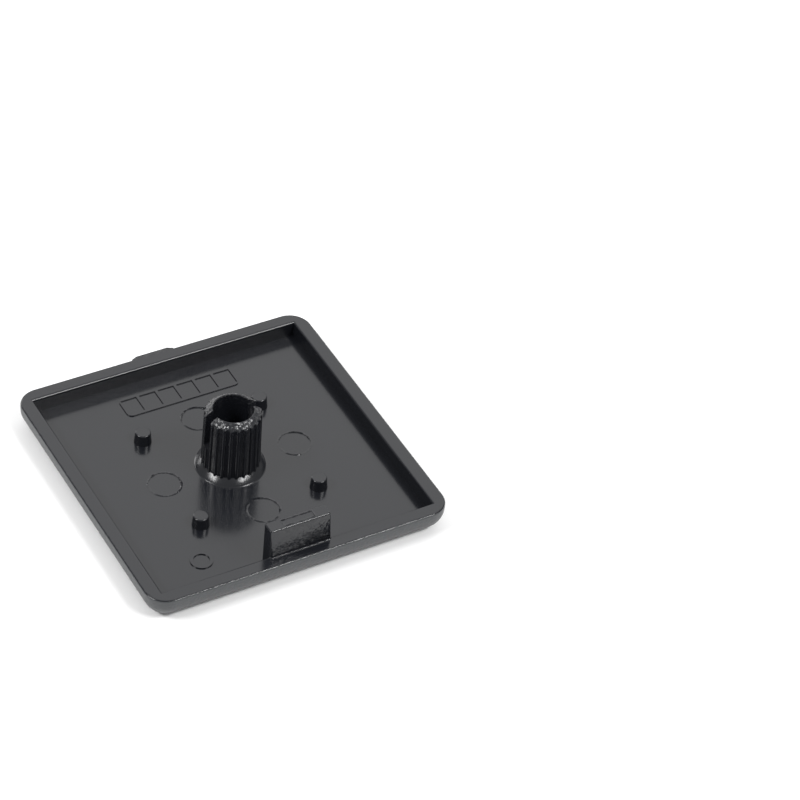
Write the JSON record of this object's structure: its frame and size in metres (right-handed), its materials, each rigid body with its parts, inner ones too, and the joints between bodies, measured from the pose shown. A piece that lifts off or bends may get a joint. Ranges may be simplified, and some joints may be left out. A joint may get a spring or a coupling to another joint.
{
  "type": "profile end cap",
  "caption": "Square moulded end cap for aluminium profile: shallow tray inside, split ribbed centre post, slot lug and stand-off pins, rounded outer face.",
  "frame": {"origin": "centre of the outer face, on the surface that the cap rests on", "axes": "+Z along the post, from the outer face into the profile; -Y towards the slot lug"},
  "size_m": [0.04, 0.0403, 0.0105],
  "materials": {
    "black_plastic": "moulded black, semi-gloss inside, fine grain outside"
  },
  "bodies": {
    "root": {"end_cap": "black_plastic"}
  },
  "joints": []
}
